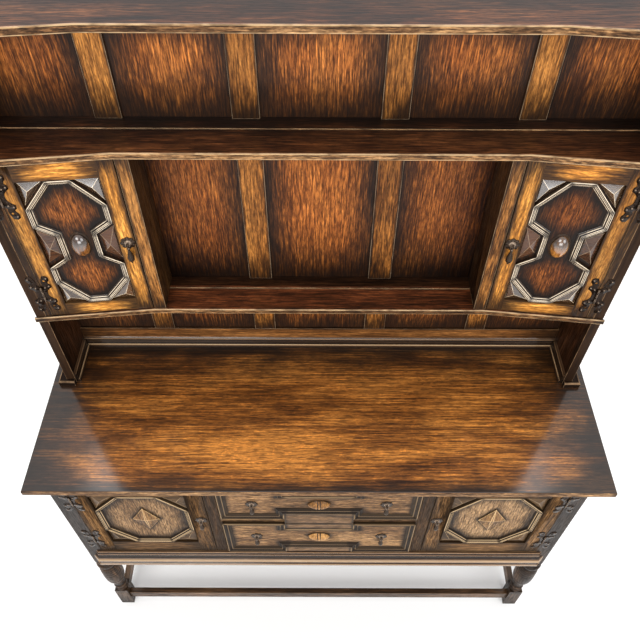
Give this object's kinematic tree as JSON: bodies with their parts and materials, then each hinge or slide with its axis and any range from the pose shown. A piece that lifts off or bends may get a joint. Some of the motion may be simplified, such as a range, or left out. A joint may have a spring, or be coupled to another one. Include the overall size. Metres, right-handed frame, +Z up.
{
  "type": "dresser",
  "caption": "High-back oak dresser: carved sideboard base with drawers and doors on turned legs, and a shelf rack with two canted cupboards.",
  "frame": {"origin": "middle of the bounding box in plan, at floor level under the feet", "axes": "+Z up, +X to the right as seen from the front, -Y out of the front where drawers and doors open"},
  "size_m": [1.4, 0.46, 1.853],
  "materials": {
    "oak": "satin waxed, darkened at the edges",
    "oak_panel": "satin waxed, reddish, dark at the borders",
    "oak_moulding": "glossy, worn pale on the arrises",
    "oak_plain": "unfinished inside wood",
    "iron": "dark brown, rubbed on the high spots"
  },
  "bodies": {
    "dresser": {"worktop": "oak", "base_sides": "oak", "case_back": "oak_plain", "case_floor": "oak_plain", "front_rails": "oak", "divider_left": "oak", "divider_right": "oak", "drawer_runners": "oak_plain", "base_moulding": "oak_moulding", "front_leg_left": "oak", "front_leg_right": "oak", "rear_legs": "oak", "front_stretcher": "oak", "side_stretchers": "oak", "lower_shelf": "oak", "main_shelf": "oak", "top_board": "oak", "rack_end_left": "oak", "rack_end_right": "oak", "cupboard_post_left": "oak", "cupboard_post_right": "oak", "hanging_stiles": "oak", "back_muntins": "oak", "back_panels": "oak_panel", "back_rails": "oak", "rack_skirting": "oak", "rack_plinths": "oak", "hinge_leaves": "iron"},
    "drawer_upper": {"drawer_upper_front": "oak", "drawer_upper_box": "oak_plain", "drawer_upper_ornament": "oak_moulding", "drawer_upper_plates": "iron"},
    "drawer_upper_drop_left": {"drawer_upper_drop_left": "iron"},
    "drawer_upper_drop_right": {"drawer_upper_drop_right": "iron"},
    "drawer_lower": {"drawer_lower_front": "oak", "drawer_lower_box": "oak_plain", "drawer_lower_ornament": "oak_moulding", "drawer_lower_plates": "iron"},
    "drawer_lower_drop_left": {"drawer_lower_drop_left": "iron"},
    "drawer_lower_drop_right": {"drawer_lower_drop_right": "iron"},
    "base_door_left": {"base_door_left_frame": "oak", "base_door_left_panel": "oak_panel", "base_door_left_ornament": "oak_moulding", "base_door_left_iron": "iron"},
    "base_door_left_drop": {"base_door_left_drop": "iron"},
    "base_door_right": {"base_door_right_frame": "oak", "base_door_right_panel": "oak_panel", "base_door_right_ornament": "oak_moulding", "base_door_right_iron": "iron"},
    "base_door_right_drop": {"base_door_right_drop": "iron"},
    "cupboard_door_left": {"cupboard_door_left_frame": "oak", "cupboard_door_left_panel": "oak_panel", "cupboard_door_left_ornament": "oak_moulding", "cupboard_door_left_iron": "iron"},
    "cupboard_door_left_drop": {"cupboard_door_left_drop": "iron"},
    "cupboard_door_right": {"cupboard_door_right_frame": "oak", "cupboard_door_right_panel": "oak_panel", "cupboard_door_right_ornament": "oak_moulding", "cupboard_door_right_iron": "iron"},
    "cupboard_door_right_drop": {"cupboard_door_right_drop": "iron"}
  },
  "joints": [
    {"name": "drawer_upper_slide", "type": "slide", "parent": "dresser", "child": "drawer_upper", "axis": [0, -1, 0], "range_m": [0, 0.26]},
    {"name": "drawer_upper_drop_left_swing", "type": "hinge", "parent": "drawer_upper", "child": "drawer_upper_drop_left", "pos_m": [-0.1715, -0.2015, 0.765], "axis": [-1, 0, 0], "range_deg": [0, 80]},
    {"name": "drawer_upper_drop_right_swing", "type": "hinge", "parent": "drawer_upper", "child": "drawer_upper_drop_right", "pos_m": [0.1715, -0.2015, 0.765], "axis": [-1, 0, 0], "range_deg": [0, 80]},
    {"name": "drawer_lower_slide", "type": "slide", "parent": "dresser", "child": "drawer_lower", "axis": [0, -1, 0], "range_m": [0, 0.26]},
    {"name": "drawer_lower_drop_left_swing", "type": "hinge", "parent": "drawer_lower", "child": "drawer_lower_drop_left", "pos_m": [-0.1715, -0.2015, 0.567], "axis": [-1, 0, 0], "range_deg": [0, 80]},
    {"name": "drawer_lower_drop_right_swing", "type": "hinge", "parent": "drawer_lower", "child": "drawer_lower_drop_right", "pos_m": [0.1715, -0.2015, 0.567], "axis": [-1, 0, 0], "range_deg": [0, 80]},
    {"name": "base_door_left_hinge", "type": "hinge", "parent": "dresser", "child": "base_door_left", "pos_m": [-0.6268, -0.1945, 0.66], "axis": [0, 0, -1], "range_deg": [0, 100]},
    {"name": "base_door_left_drop_swing", "type": "hinge", "parent": "base_door_left", "child": "base_door_left_drop", "pos_m": [-0.3115, -0.2015, 0.669], "axis": [-1, 0, 0], "range_deg": [0, 80]},
    {"name": "base_door_right_hinge", "type": "hinge", "parent": "dresser", "child": "base_door_right", "pos_m": [0.6268, -0.1945, 0.66], "axis": [0, 0, 1], "range_deg": [0, 100]},
    {"name": "base_door_right_drop_swing", "type": "hinge", "parent": "base_door_right", "child": "base_door_right_drop", "pos_m": [0.3115, -0.2015, 0.669], "axis": [-1, 0, 0], "range_deg": [0, 80]},
    {"name": "cupboard_door_left_hinge", "type": "hinge", "parent": "dresser", "child": "cupboard_door_left", "pos_m": [-0.62113, 0.08385, 1.383], "axis": [0, 0, -1], "range_deg": [0, 100]},
    {"name": "cupboard_door_left_drop_swing", "type": "hinge", "parent": "cupboard_door_left", "child": "cupboard_door_left_drop", "pos_m": [-0.40535, 0.10043, 1.379], "axis": [-0.9941, -0.1088, 0], "range_deg": [0, 80]},
    {"name": "cupboard_door_right_hinge", "type": "hinge", "parent": "dresser", "child": "cupboard_door_right", "pos_m": [0.62113, 0.08385, 1.383], "axis": [0, 0, 1], "range_deg": [0, 100]},
    {"name": "cupboard_door_right_drop_swing", "type": "hinge", "parent": "cupboard_door_right", "child": "cupboard_door_right_drop", "pos_m": [0.40535, 0.10043, 1.379], "axis": [-0.9941, 0.1088, 0], "range_deg": [0, 80]}
  ]
}
